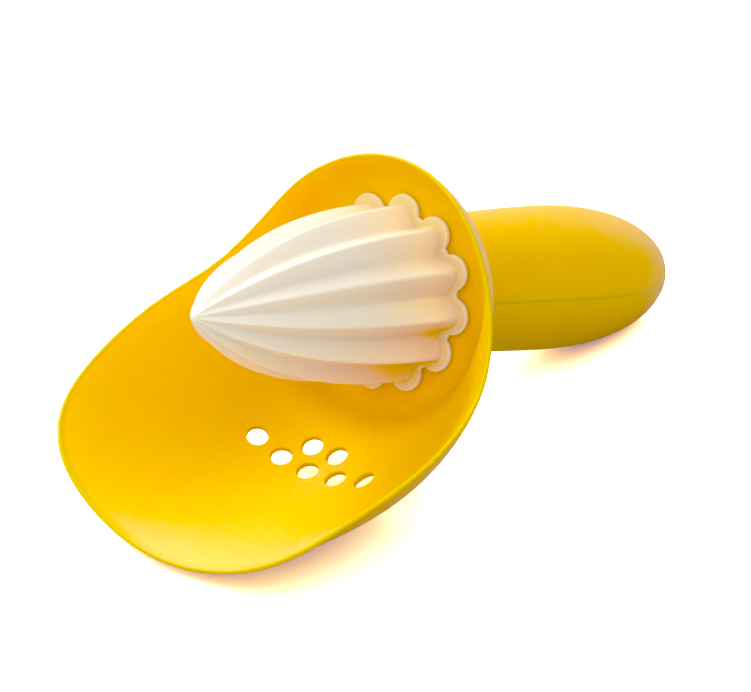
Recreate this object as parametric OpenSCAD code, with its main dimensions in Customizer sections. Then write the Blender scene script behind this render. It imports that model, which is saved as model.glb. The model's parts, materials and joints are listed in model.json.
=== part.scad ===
// Hand-held citrus reamer: a ribbed cone that pulls off, a scoop-shaped catcher bowl with strainer
// holes, and a hollow handle made of two half shells and an end cap.
//
// The tool frame has its origin on the reaming axis at the front face of the cone's flange, with +X
// towards the handle, so everything in front of the flange has a negative X. The handle frame is
// the tool frame turned a little about a point on the axis, because the handle droops slightly.
// The finished part lies as it would on a table: both undersides touch Z = 0 and +Z is up.

/* [Reamer cone] */
// Length from the flange's front face to the tip
cone_len = 74.8; // [60:0.2:85]
// Radius over the ridges at the base of the cone
ridge_r = 22.4; // [20:0.1:23]
// Number of ridges round the cone
ridge_count = 12; // [10:1:14]
// Depth of the valleys between the ridges, at the base
valley_depth = 3.8; // [2:0.1:4.5]
// Hollowness of the flanks between a crest and a valley: 1 is flat
crest_power = 1.4; // [1:0.05:2]
// Wall between the bottom of a valley and the hollow inside
cone_wall = 2; // [1.4:0.1:3]
// How far along the cone the ridges stay nearly parallel to the axis
cone_straight = 30; // [20:1:36]
// How far along the cone its nose is still blunt
cone_blunt = 58; // [50:1:60]
// Radius that the blunt nose aims for
nose_r = 16; // [12:0.5:18]

/* [Flange] */
// Radius of the flange over its lobes
flange_r = 25; // [24:0.1:26]
// Radius of one lobe of the flange
lobe_r = 4.6; // [4:0.1:5]
// Radius of the flange at the notches between the lobes
notch_r = 21.1; // [20.4:0.1:22]
// Thickness of the flange
flange_t = 1.4; // [1:0.1:2]

/* [Catcher bowl] */
// Wall of the bowl
bowl_wall = 2; // [1.6:0.1:2.6]
// Radius of the flat back plate, where its fold begins
plate_r = 28; // [26.5:0.5:29]
// Inside radius of the bowl where the fold ends and the trough begins
fold_r = 36; // [35:0.5:37]
// How far in front of the flange the fold ends
fold_reach = 8.6; // [7:0.2:10]
// Inside radius of the trough at its front lip
lip_r = 59.8; // [56:0.2:62]
// How far the front lip reaches in front of the flange
lip_reach = 70.4; // [64:0.2:76]
// Height of the bowl's top edge above the axis
top_h = 37.5; // [36.5:0.5:40]
// Depth of the flats under the trough and the handle, on which the tool lies without rocking
rest_flat = 0.4; // [0.3:0.05:0.6]

/* [Strainer holes] */
// Diameter of a strainer hole
hole_d = 5.4; // [3:0.2:6]
// Distance between two holes of a row, along the trough's curve
hole_pitch = 8.7; // [7.5:0.1:10]
// Number of holes in the front row
front_holes = 5; // [3:1:6]
// Number of holes in the back row
back_holes = 2; // [1:1:4]
// How far in front of the flange the front row lies
front_row_x = 17.4; // [16.5:0.2:20]
// Distance from the front row back to the back row
row_step = 5.5; // [5:0.1:5.5]

/* [Cone socket] */
// Radius of the round root of the spigot
root_r = 8; // [7:0.1:8.5]
// Length of the round root, behind the flange
root_len = 9; // [7:0.5:11]
// Width across the flats of the six-sided nose of the spigot
hex_af = 10; // [8:0.5:11]
// Length of the six-sided nose of the spigot
hex_len = 12; // [8:0.5:14]
// Thickness of the plug that closes the back of the cone
plug_t = 2.6; // [2:0.1:4]
// Radius of the opening at the back of the cone, which the plug fills
mouth_r = 15; // [13:0.5:15.5]
// Wall of the hollow root of the spigot, at the flats of its nose
spigot_wall = 1.8; // [1.2:0.1:2.4]
// Thickness of the rubber sealing ring
ring_d = 1.5; // [1.2:0.1:2]
// Play of the sealing ring in its groove, on each side
ring_play = 0.08; // [0.05:0.01:0.2]
// Clearance between the spigot and its socket
socket_gap = 0.3; // [0.2:0.05:0.5]

/* [Handle] */
// Distance from the flange to the flat end of the handle
handle_end = 111; // [98:1:120]
// Radius of the handle where it meets the bowl
waist_r = 16.4; // [15.5:0.1:17.5]
// Largest radius of the handle
belly_r = 18.7; // [17.6:0.1:20]
// Distance from the flange to the thickest part of the handle
belly_x = 68; // [60:1:74]
// Radius of the handle's flat end, over its rounded edge
end_r = 10.8; // [9.5:0.1:12]
// Rounding of the edge at the handle's flat end
end_round = 1.4; // [0.6:0.1:2]
// Angle by which the handle droops from the cone's axis
droop = 2.5; // [0:0.1:4]
// Wall of the handle shells
shell_wall = 2.4; // [2.2:0.1:3]

/* [Joint inside the handle] */
// Radius of the bowl's neck inside the handle
neck_r = 12; // [11.5:0.1:12.6]
// Length of the neck behind the back plate
neck_len = 22; // [21.5:0.5:28]
// Depth of the groove in the neck that the shells grip
groove_depth = 1.6; // [1:0.1:2]
// Width of that groove
groove_w = 4; // [3:0.1:5]
// Distance from the back plate to that groove
groove_x = 14; // [12:0.5:16]
// Width of the key in the groove that stops the neck turning
key_w = 4; // [3:0.5:6]
// Thickness of the ribs and end rings inside the shells
rib_t = 2.4; // [1.6:0.1:3]
// Radius of the locating pins between the shells
pin_r = 1.6; // [1.2:0.1:2]
// Height of the locating pins
pin_h = 4; // [2.5:0.5:6]
// Distance from the middle of the handle to the locating pins
pin_y = 9.5; // [8:0.5:10]
// Distance from a ring wall inside the handle to the next pins
pin_from_ring = 10; // [8:0.5:12]
// Room between a pin and the shell's wall
pin_from_wall = 0.5; // [0.4:0.1:1]
// Room over the end of a pin in its hole
pin_room = 0.4; // [0.2:0.1:0.8]
// Height of the tongue along the seam between the shells
tongue_h = 1.6; // [1:0.1:2.5]
// Width and depth of the fine groove along the outside of the seam
seam_groove = 0.3; // [0.2:0.05:0.5]
// Length of the end cap's skirt inside the shells
skirt_len = 6; // [4:0.5:9]
// Wall of that skirt
skirt_wall = 1.8; // [1.2:0.1:2.4]
// Thickness of the end cap at its rounded edge
cap_t = 3.2; // [2.6:0.1:5]
// Clearance between pieces that are fitted together for good
fit_gap = 0.1; // [0.05:0.01:0.15]

/* [Hidden] */
steps = 16;            // points along each curved stretch of an outline
cone_rings = 22;       // rings of points along the cone
points_per_ridge = 8;
round_fn = 96;         // facets round a large circle
small_fn = 48;         // facets round a small one
eps = 0.01;            // overlap that makes two solids of one piece join
over = 1;              // how far a cut runs past the surface that it opens
far = 130;             // beyond every part of the bowl or handle

// Pulls of the curves: how far the handles of a curved stretch lie from its end points
fold_slope = 50;       // slope of the bowl's inside where the fold ends and the trough begins
fold_rise = 5.8;       // outwards along the back plate
fold_pull = 4;
trough_pull = 29.4;
lip_run = 2;           // how far the trough is drawn past the lip before the rim cuts it
lip_pull = [11, -5.6];
top_x = 2.5;           // where the rim's curve starts at the bowl's top edge
top_pull = [-11, -1];
waist = [-9, 4];       // where the rim is furthest back at the bowl's side
waist_pull_up = [5, 14];
waist_pull_down = [-3.5, -10];
knee = [-35, -20.5];   // halfway down the side of the trough
knee_pull_up = [16.5, 11];
knee_pull_down = [-22.4, -15];
lip_corner_pull = 20.5;
grip_pull = [25.84, 0.9];
belly_pull_front = 18;
belly_pull_back = 16;
end_pull = [-8.1, 5.2];

// Places along the tool axis
plate_x = flange_t + fit_gap;
plate_back = plate_x + bowl_wall;
pivot_x = 31;          // where the handle's axis crosses the cone's axis
cap_x = handle_end - cap_t;
spigot_end = flange_t + root_len + hex_len;
socket_r = root_r + socket_gap;
socket_end = spigot_end + socket_gap;
ring_x = flange_t + root_len / 2;
ring_room = ring_d / 2 + ring_play;
ring_groove_r = socket_r - socket_gap / 2 - ring_d;
neck_end = plate_back + neck_len;
grip_x = plate_back + groove_x;
grip_r = neck_r - groove_depth;

// Point at parameter t on a cubic curve with four control points
function curve_at(p, t) = pow(1 - t, 3) * p[0] + 3 * pow(1 - t, 2) * t * p[1]
    + 3 * (1 - t) * pow(t, 2) * p[2] + pow(t, 3) * p[3];

// Points along a cubic curve, without its first one
function curve(p, n = steps) = [for (i = [1:n]) curve_at(p, i / n)];

// Unit normal of a row of points at point i: outwards when the row runs towards -X, else inwards
function normal_at(p, i) = let (
    a = p[max(i - 1, 0)],
    b = p[min(i + 1, len(p) - 1)],
    d = (b - a) / norm(b - a)
) [d[1], -d[0]];

// The same row of points moved sideways by a distance
function shifted(p, d) = [for (i = [0:len(p) - 1]) p[i] + d * normal_at(p, i)];

function reversed(p) = [for (i = [len(p) - 1:-1:0]) p[i]];

// Radius of an outline of [x, radius] points at a place along it
function radius_at(p, x) = lookup(x, p);

// Inside of the bowl, as [x, radius] from the back plate to beyond the front lip
fold_dir = [-cos(fold_slope), sin(fold_slope)];
fold_end = [-fold_reach, fold_r];
lip_end = [-lip_reach - lip_run, lip_r];
bowl_fold = [[plate_x, plate_r], [plate_x, plate_r + fold_rise], fold_end - fold_pull * fold_dir,
    fold_end];
bowl_trough = [fold_end, fold_end + trough_pull * fold_dir, lip_end + lip_pull, lip_end];
bowl_inner = concat([bowl_fold[0]], curve(bowl_fold), curve(bowl_trough));
bowl_outer = shifted(bowl_inner, bowl_wall);

// Side view of the rim, as [x, z] from above the top edge to below the front lip
rim_top = [top_x, top_h];
rim_low = [-lip_reach, -lip_r];
rim_side = concat(
    [rim_top],
    curve([rim_top, rim_top + top_pull, waist + waist_pull_up, waist]),
    curve([waist, waist + waist_pull_down, knee + knee_pull_up, knee]),
    curve([knee, knee + knee_pull_down, rim_low + [0, lip_corner_pull], rim_low])
);

// Ridge line of the cone, as [x, radius] from the flange to the tip
ridge_line = [[0, ridge_r], [-cone_straight, ridge_r], [-cone_blunt, nose_r], [-cone_len, 0]];
valley_share = valley_depth / ridge_r;
ridge_pitch = 360 / ridge_count;

// Outside of the handle in the handle frame, as [x, radius] from the bowl to the flat end
grip_start = [0, waist_r];
belly = [belly_x, belly_r];
grip_stop = [handle_end - end_round, end_r];
handle_side = concat(
    [grip_start],
    curve([grip_start, grip_start + grip_pull, belly - [belly_pull_front, 0], belly]),
    curve([belly, belly + [belly_pull_back, 0], grip_stop + end_pull, grip_stop])
);
end_edge = [for (a = [15:15:90])
    [handle_end - end_round + end_round * sin(a), end_r - end_round + end_round * cos(a)]];
handle_outline = concat(handle_side, end_edge);
handle_inner = shifted(handle_side, shell_wall);

// A point [x, z] of the handle frame in the tool frame
function from_handle(p) = [
    pivot_x + (p[0] - pivot_x) * cos(droop) + p[1] * sin(droop),
    -(p[0] - pivot_x) * sin(droop) + p[1] * cos(droop)
];

// The part rests on the underside of the trough and the underside of the handle. The slope of the
// line that touches both from below is the slope of the table in the tool frame.
trough_under = [for (p = bowl_outer) if (p[0] > -lip_reach) [p[0], -p[1]]];
handle_under = [for (p = handle_outline) from_handle([p[0], -p[1]])];
rest_slope = max([for (a = trough_under)
    min([for (b = handle_under) if (b[0] > plate_back) (b[1] - a[1]) / (b[0] - a[0])])]);
rest_tilt = atan(rest_slope);

// A point [x, z] of the tool frame after tilting
function tilted(p) = [
    p[0] * cos(rest_tilt) + p[1] * sin(rest_tilt),
    -p[0] * sin(rest_tilt) + p[1] * cos(rest_tilt)
];

lip_corner = [-lip_reach, -radius_at(bowl_outer, -lip_reach)];
low_x = tilted(lip_corner)[0];
high_x = max([for (p = handle_outline) tilted(from_handle(p))[0]]);
low_z = min([for (p = trough_under) tilted(p)[1]]) + rest_flat;

// Puts a piece of the tool frame where it lies at rest
module at_rest() {
    translate([-(low_x + high_x) / 2, 0, -low_z]) rotate([0, rest_tilt, 0]) children();
}

// The same for a piece that touches the table, with its flat
module flat_at_rest() {
    difference() {
        at_rest() children();
        translate([-far, -far, -2 * far]) cube(2 * far);
    }
}

// Puts a piece of the handle frame into the tool frame
module in_handle() {
    translate([pivot_x, 0, 0]) rotate([0, droop, 0]) translate([-pivot_x, 0, 0]) children();
}

// Turns an outline of [x, radius] points about the X axis
module turned(outline) {
    rotate([0, 90, 0]) rotate_extrude($fn = round_fn) polygon([for (p = outline) [p[1], p[0]]]);
}

// Round bar about the X axis between two places
module bar(x0, x1, r) {
    translate([x0, 0, 0]) rotate([0, 90, 0]) cylinder(h = x1 - x0, r = r, $fn = round_fn);
}

// Six-sided bar about the X axis between two places, by its width across flats
module hex_bar(x0, x1, across) {
    translate([x0, 0, 0]) rotate([0, 90, 0]) cylinder(h = x1 - x0, d = across / cos(30), $fn = 6);
}

// Share of the ridge radius that remains at an angle round the cone
function ridge_share(angle) = 1 - valley_share * (1 - pow(crest_part(angle), crest_power));

// How near an angle is to the closest crest: 1 on it, 0 in the middle of a valley
function crest_part(angle) = abs(1 - 2 * (angle / ridge_pitch - floor(angle / ridge_pitch)));

// Ridged outside of the cone, drawn ring by ring to its tip
module ridged_bullet() {
    around = ridge_count * points_per_ridge;
    rings = [for (k = [0:cone_rings - 1]) curve_at(ridge_line, k / cone_rings)];
    ring_points = [for (p = rings) for (j = [0:around - 1])
        let (a = 360 * j / around, r = p[1] * ridge_share(a)) [p[0], r * sin(a), r * cos(a)]];
    base = len(ring_points);
    points = concat(ring_points, [[-cone_len, 0, 0], [0, 0, 0]]);
    sides = [for (k = [0:cone_rings - 2]) for (j = [0:around - 1])
        let (a = k * around + j, b = k * around + (j + 1) % around)
        each [[a, a + around, b], [b, a + around, b + around]]];
    last = (cone_rings - 1) * around;
    tip = [for (j = [0:around - 1]) [last + j, base, last + (j + 1) % around]];
    back = [for (j = [0:around - 1]) [j, (j + 1) % around, base + 1]];
    polyhedron(points = points, faces = concat(sides, tip, back));
}

// Scalloped flange, one lobe behind each ridge
module flange() {
    rotate([0, 90, 0]) linear_extrude(height = flange_t) {
        circle(r = notch_r, $fn = round_fn);
        for (i = [0:ridge_count - 1])
            rotate(180 + 360 * i / ridge_count) translate([flange_r - lobe_r, 0])
                circle(r = lobe_r, $fn = small_fn);
    }
}

// Hollow inside of the cone, which keeps the same wall under every valley
hollow_side = [for (k = [0:steps]) let (
    p = curve_at(ridge_line, k / steps),
    r = p[1] * (1 - valley_share) - cone_wall
) if (r > over) [p[0], min(r, mouth_r)]];

module reamer_cone() {
    color("ivory") at_rest() difference() {
        union() {
            translate([eps, 0, 0]) ridged_bullet();
            flange();
        }
        turned(concat([[0, 0]], hollow_side, [[hollow_side[len(hollow_side) - 1][0] - over, 0]]));
        bar(-eps, flange_t + over, mouth_r);
    }
}

// Plug that closes the cone, with the round root and the six-sided nose that enter the bowl
module cone_spigot() {
    color("gold") at_rest() difference() {
        union() {
            bar(flange_t - plug_t, flange_t, mouth_r - fit_gap);
            bar(flange_t - eps, flange_t + root_len, root_r);
            hex_bar(flange_t + root_len - eps, spigot_end, hex_af);
        }
        difference() {
            bar(ring_x - ring_room, ring_x + ring_room, root_r + over);
            bar(ring_x - ring_d, ring_x + ring_d, ring_groove_r - fit_gap / 2);
        }
        bar(flange_t - plug_t - over, flange_t + root_len, hex_af / 2 - spigot_wall);
    }
}

// Rubber ring in the groove of the spigot's root
module sealing_ring() {
    color("dimgray") at_rest() translate([ring_x, 0, 0]) rotate([0, 90, 0])
        rotate_extrude($fn = round_fn) translate([ring_groove_r + ring_d / 2, 0])
            circle(d = ring_d, $fn = small_fn);
}

// Straight drill through the trough wall, square to the wall
module strainer_drill(reach, turn) {
    slope = atan2(
        radius_at(bowl_inner, -reach - over) - radius_at(bowl_inner, -reach + over), 2 * over);
    rotate([turn, 0, 0]) translate([-reach, 0, -radius_at(bowl_inner, -reach)])
        rotate([0, -slope, 0]) cylinder(h = 4 * bowl_wall, d = hole_d, center = true, $fn = small_fn);
}

// One row of strainer holes, spread evenly about the bottom of the trough
module strainer_row(reach, count) {
    pitch_angle = hole_pitch / radius_at(bowl_inner, -front_row_x) * 180 / PI;
    for (i = [0:count - 1]) strainer_drill(reach, (i - (count - 1) / 2) * pitch_angle);
}

// Neck behind the back plate, with the groove and the key that the shells grip
module neck() {
    in_handle() {
        difference() {
            bar(plate_x + bowl_wall / 2, neck_end, neck_r);
            difference() {
                bar(grip_x, grip_x + groove_w, neck_r + over);
                bar(grip_x - over, grip_x + groove_w + over, grip_r);
            }
        }
        translate([grip_x - eps, -key_w / 2, -neck_r + 2 * fit_gap])
            cube([groove_w + 2 * eps, key_w, groove_depth + over]);
    }
}

module catcher_bowl() {
    color("gold") flat_at_rest() difference() {
        union() {
            intersection() {
                turned(concat([[plate_x, 0]], bowl_inner, reversed(bowl_outer), [[plate_back, 0]]));
                rotate([90, 0, 0]) linear_extrude(height = 2 * far, center = true)
                    polygon(concat(rim_side, [[-lip_reach, -far], [far, -far], [far, top_h]]));
            }
            neck();
        }
        bar(plate_x - over, flange_t + root_len + socket_gap, socket_r);
        hex_bar(flange_t + root_len, socket_end, hex_af + 2 * socket_gap);
        strainer_row(front_row_x, front_holes);
        strainer_row(front_row_x - row_step, back_holes);
    }
}

// Hollow stretch inside the shells between two places
module hollow(x0, x1) {
    turned(concat(
        [[x0, 0], [x0, radius_at(handle_inner, x0)]],
        [for (p = handle_inner) if (p[0] > x0 && p[0] < x1) p],
        [[x1, radius_at(handle_inner, x1)], [x1, 0]]
    ));
}

// Places of the ring walls inside the shells
front_ring_end = plate_back + 2 * rib_t;
end_ring_x = cap_x - rib_t - over;
mid_rib_x = (neck_end + end_ring_x) / 2;
rib_bore = radius_at(handle_inner, cap_x) - skirt_wall - fit_gap;
skirt_r = radius_at(handle_inner, cap_x) - skirt_wall / 3;
skirt_bore = skirt_r + fit_gap;

// Both shells in one, before the seam divides them
module whole_shell() {
    difference() {
        intersection() {
            in_handle() turned(concat(
                [[0, 0]],
                [for (p = handle_side) if (p[0] < cap_x) p],
                [[cap_x, radius_at(handle_side, cap_x)], [cap_x, 0]]
            ));
            translate([plate_back + fit_gap, -far, -far]) cube(2 * far);
        }
        in_handle() {
            bar(0, grip_x + over, neck_r + fit_gap);
            hollow(front_ring_end, grip_x + fit_gap);
            bar(0, neck_end + over, grip_r + fit_gap);
            hollow(grip_x + groove_w - fit_gap, mid_rib_x);
            bar(neck_end, cap_x, rib_bore);
            hollow(mid_rib_x + rib_t, end_ring_x);
            bar(end_ring_x, cap_x + over, skirt_bore);
            translate([grip_x - over, -key_w / 2 - fit_gap, -neck_r - over])
                cube([groove_w + 2 * over, key_w + 2 * fit_gap, groove_depth + rib_t + over]);
            difference() {
                translate([0, -far, -seam_groove / 2]) cube([cap_x + over, 2 * far, seam_groove]);
                turned(concat([[-over, 0]], shifted(handle_side, seam_groove), [[handle_end, 0]]));
            }
        }
    }
}

// Everything on one side of the seam plane in the handle frame: side 1 is above it, -1 below it
module half_space(side) {
    in_handle() translate([-far, -far, side > 0 ? 0 : -2 * far]) cube(2 * far);
}

// Band inside the wall along the seam, for the tongue or, wider, for its groove
module seam_band(inset, width, height) {
    in_handle() intersection() {
        difference() {
            turned(concat([[0, 0]], shifted(handle_side, inset), [[handle_end - end_round, 0]]));
            turned(concat([[-over, 0]], shifted(handle_side, inset + width), [[handle_end, 0]]));
        }
        translate([front_ring_end, -far, -eps])
            cube([end_ring_x - front_ring_end, 2 * far, height + eps]);
    }
}

pin_places = [
    for (x = [neck_end + pin_from_ring, mid_rib_x + rib_t + pin_from_ring, end_ring_x - pin_from_ring])
        for (s = [-1, 1]) [x, s * min(pin_y, radius_at(handle_inner, x) - pin_r - pin_from_wall)]
];

// Posts that carry the locating pins, or take them, from the seam to the shell's wall
module posts(side) {
    intersection() {
        in_handle() for (p = pin_places)
            translate([p[0], p[1], side > 0 ? 0 : -belly_r])
                cylinder(h = belly_r, r = 2 * pin_r, $fn = small_fn);
        in_handle() turned(concat([[0, 0]], handle_side, [[handle_end, 0]]));
    }
}

module pins(r, height) {
    in_handle() for (p = pin_places)
        translate([p[0], p[1], -eps]) cylinder(h = height + eps, r = r, $fn = small_fn);
}

module handle_upper_shell() {
    color("gold") at_rest() difference() {
        union() {
            intersection() {
                whole_shell();
                half_space(1);
            }
            posts(1);
        }
        seam_band(shell_wall / 2 - fit_gap, shell_wall / 2 + 2 * fit_gap, tongue_h + fit_gap);
        pins(pin_r + fit_gap / 2, pin_h + pin_room);
    }
}

module handle_lower_shell() {
    color("gold") flat_at_rest() union() {
        intersection() {
            whole_shell();
            half_space(-1);
        }
        posts(-1);
        seam_band(shell_wall / 2, shell_wall / 2, tongue_h);
        pins(pin_r, pin_h);
    }
}

// Cap that closes the flat end and holds the two shells together
module handle_end_cap() {
    color("gold") at_rest() in_handle() difference() {
        union() {
            turned(concat(
                [[cap_x + fit_gap, 0], [cap_x + fit_gap, radius_at(handle_side, cap_x + fit_gap)]],
                [for (p = handle_side) if (p[0] > cap_x + fit_gap) p],
                end_edge,
                [[handle_end, 0]]
            ));
            bar(cap_x - skirt_len, cap_x + over, skirt_r);
        }
        bar(cap_x - skirt_len - over, cap_x, skirt_r - skirt_wall);
    }
}

reamer_cone();
cone_spigot();
sealing_ring();
catcher_bowl();
handle_upper_shell();
handle_lower_shell();
handle_end_cap();
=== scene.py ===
"""Hand-held citrus reamer: a ribbed translucent cone that pulls out of a yellow scoop, on a hollow
handle of two half shells with an end cap. Sizes are in metres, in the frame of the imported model."""

import json
import math

import bmesh
import bpy
import numpy as np
from mathutils import Matrix, Vector


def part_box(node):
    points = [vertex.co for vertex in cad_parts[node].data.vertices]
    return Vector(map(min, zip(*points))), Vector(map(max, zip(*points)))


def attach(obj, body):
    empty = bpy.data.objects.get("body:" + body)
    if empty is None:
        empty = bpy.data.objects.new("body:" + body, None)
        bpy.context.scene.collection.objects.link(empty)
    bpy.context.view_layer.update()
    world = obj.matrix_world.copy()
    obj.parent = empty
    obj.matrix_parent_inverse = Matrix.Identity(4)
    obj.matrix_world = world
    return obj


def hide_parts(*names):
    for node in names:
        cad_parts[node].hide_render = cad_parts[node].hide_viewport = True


bl_info = {
    "name": "Citrus Reamer",
    "version": (1, 0, 0),
    "blender": (4, 5, 0),
    "location": "View3D > Sidebar > Reamer",
    "description": "Builds a hand-held citrus reamer round its packed model",
    "category": "Add Mesh",
}

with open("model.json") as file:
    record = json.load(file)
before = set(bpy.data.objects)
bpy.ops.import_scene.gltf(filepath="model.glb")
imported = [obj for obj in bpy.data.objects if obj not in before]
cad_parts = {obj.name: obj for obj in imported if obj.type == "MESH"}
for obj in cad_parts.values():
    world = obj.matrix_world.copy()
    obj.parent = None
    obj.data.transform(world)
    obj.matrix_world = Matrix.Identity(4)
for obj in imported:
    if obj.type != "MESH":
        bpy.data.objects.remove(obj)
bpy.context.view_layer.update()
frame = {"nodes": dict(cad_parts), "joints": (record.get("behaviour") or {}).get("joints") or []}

MM = 0.001
CRISP = math.radians(35)  # edges that turn by more than this are shaded as crisp ones


# The tool's own frame: its origin lies on the reaming axis at the flange's front face, AXIS points
# to the handle and UP away from the table. The cone pulls off against AXIS.
AXIS = -Vector(frame["joints"][0]["axis"]).normalized()
SIDE = Vector((0, 1, 0))
UP = AXIS.cross(SIDE)
RING_PLACE = 5.9 * MM     # the sealing ring's middle lies this far along the axis
DROOP = math.radians(2.5)  # the handle's axis droops from the reaming axis
PIVOT = 31 * MM           # and crosses it here


def box_middle(node):
    low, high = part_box(node)
    return (low + high) / 2


ORIGIN = box_middle("sealing_ring") - AXIS * RING_PLACE
TOOL_AXES = np.array([AXIS, SIDE, UP])


def from_tool(points):
    """Points of the tool's own frame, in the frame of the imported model."""
    return np.asarray(points) @ TOOL_AXES + np.array(ORIGIN)


def from_handle(points):
    """Points of the drooping handle's frame, in the tool's own frame."""
    points = np.asarray(points, float)
    x, z = points[..., 0] - PIVOT, points[..., 2]
    turned = np.array(points)
    turned[..., 0] = PIVOT + x * math.cos(DROOP) + z * math.sin(DROOP)
    turned[..., 2] = -x * math.sin(DROOP) + z * math.cos(DROOP)
    return turned


# Curves and skins


def bezier(points, count):
    """Points along a cubic curve, its first one included."""
    p = np.asarray(points, float)
    t = np.linspace(0, 1, count + 1)[:, None]
    return ((1 - t) ** 3 * p[0] + 3 * (1 - t) ** 2 * t * p[1]
            + 3 * (1 - t) * t ** 2 * p[2] + t ** 3 * p[3])


def joined(*rows):
    """Rows of points end to end, without the doubled points."""
    return np.vstack([rows[0]] + [row[1:] for row in rows[1:]])


class Profile:
    """A smooth outline of [x, radius] points, read by the length along it."""

    def __init__(self, points):
        self.points = np.asarray(points, float)
        steps = np.linalg.norm(np.diff(self.points, axis=0), axis=1)
        self.along = np.concatenate([[0], np.cumsum(steps)])
        self.length = self.along[-1]
        slope = np.gradient(self.points, self.along, axis=0)
        self.slope = slope / np.linalg.norm(slope, axis=1)[:, None]

    def at(self, along):
        return np.stack([np.interp(along, self.along, self.points[:, k]) for k in (0, 1)], -1)

    def outward(self, along):
        """Unit normal, away from the inside of the bowl, for an outline that runs towards -X."""
        dx, dr = (np.interp(along, self.along, self.slope[:, k]) for k in (0, 1))
        size = np.hypot(dx, dr)
        return np.stack([dr / size, -dx / size], -1)


def revolved(x, radius, turn):
    """Points at a turn round the X axis, where a turn of 0 is up."""
    return np.stack(np.broadcast_arrays(x, radius * np.sin(turn), radius * np.cos(turn)), -1)


def quarter(count):
    """Angles of a quarter circle, without its first one."""
    return np.linspace(0, math.pi / 2, count + 1)[1:]


def make_piece(name, points, faces, body, node, crisp=CRISP, painted_light=None):
    """A mesh piece with smooth shading and crisp edges, which stands for a node of the frame. The
    last argument tells for each point how strongly the material lays painted light on it: the
    painted glow of the scoop on the cone and the painted shade on the scoop's rim."""
    placed = from_tool(points)
    # The tool rests on small flats where its round trough and belly meet the table
    placed[:, 2] = np.maximum(placed[:, 2], 0)
    mesh = bpy.data.meshes.new(name)
    mesh.from_pydata([tuple(p) for p in placed], [], faces)
    # The mask of painted light and shade, which mixes in the material's second colour
    shade = mesh.attributes.new("painted_light", "FLOAT", "POINT")
    values = np.zeros(len(placed)) if painted_light is None else np.asarray(painted_light, float)
    shade.data.foreach_set("value", values)
    mesh.validate()
    mesh.shade_smooth()
    mesh.set_sharp_from_angle(angle=crisp)
    piece = bpy.data.objects.new(name, mesh)
    bpy.context.scene.collection.objects.link(piece)
    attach(piece, body)
    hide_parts(node)
    return piece


def skin(rows, start, end):
    """Points and faces of a closed skin through rings of points, with a pole at either end."""
    count, around = rows.shape[:2]
    points = np.vstack([rows.reshape(-1, 3), [start, end]])
    first, last = count * around, count * around + 1
    faces = []
    for j in range(around):
        k = (j + 1) % around
        faces.append((first, j, k))
        for i in range(count - 1):
            a, b = i * around, (i + 1) * around
            faces.append((a + j, b + j, b + k, a + k))
        a = (count - 1) * around
        faces.append((a + j, last, a + k))
    return points, faces


# Sizes that a user would change


def length(name, description, value, low, high):
    return bpy.props.FloatProperty(name=name, description=description, default=value * MM,
                                   min=low * MM, max=high * MM, unit="LENGTH", precision=4)


class ConeSizes(bpy.types.PropertyGroup):
    reach: length("Length", "From the flange's front face to the tip", 74.8, 60, 85)
    radius: length("Radius", "Over the ridges at the base", 22.4, 20, 23)
    ridges: bpy.props.IntProperty(name="Ridges", description="Ridges round the cone",
                                  default=12, min=10, max=14)
    valley: length("Valley depth", "Depth between two ridges at the base", 3.8, 2, 4.5)
    hollowness: bpy.props.FloatProperty(
        name="Hollowness", description="How hollow the flanks are: 1 is flat",
        default=1.4, min=1, max=2)
    wall: length("Wall", "Wall under the valleys", 2, 1.4, 3)
    flange_radius: length("Flange radius", "Over the flange's lobes", 25, 24, 26)
    flange: length("Flange thickness", "Thickness of the flange", 1.4, 1, 2)


class BowlSizes(bpy.types.PropertyGroup):
    wall: length("Wall", "Wall of the scoop", 2, 1.6, 2.6)
    plate: length("Plate radius", "Radius of the flat plate at the scoop's root", 27, 26.5, 29)
    fold_radius: length("Fold radius", "Inside radius where the fold ends", 36, 35, 37)
    fold_reach: length("Fold reach", "How far in front of the flange the fold ends", 8.6, 7, 10)
    lip_radius: length("Lip radius", "Inside radius at the front lip", 59.8, 56, 62)
    lip_reach: length("Lip reach", "How far in front of the flange the lip lies", 70.4, 64, 76)
    top: length("Top edge", "Height of the top edge above the axis", 38, 36.5, 40)
    hole: length("Hole diameter", "Diameter of a strainer hole", 5.4, 3, 6)
    pitch: length("Hole pitch", "Distance between two holes of a row", 8.7, 7.5, 10)


class HandleSizes(bpy.types.PropertyGroup):
    end: length("End", "Distance from the flange to the flat end", 111, 98, 120)
    waist: length("Waist radius", "Radius where the handle meets the scoop", 16.4, 15.5, 17.5)
    belly: length("Belly radius", "Largest radius of the handle", 18.7, 17.6, 20)
    belly_place: length("Belly place", "From the flange to the thickest part", 68, 60, 74)
    tip: length("End radius", "Radius at the rounded edge of the flat end", 10.8, 9.5, 12)
    wall: length("Wall", "Wall of the shells", 2.4, 2.2, 3)
    seam: length("Seam rounding", "Rounding of the edges along the seam", 0.06, 0.05, 0.3)


def colour(name, description, value):
    return bpy.props.FloatVectorProperty(name=name, description=description, subtype="COLOR",
                                         size=3, min=0, max=1, default=value)


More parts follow.
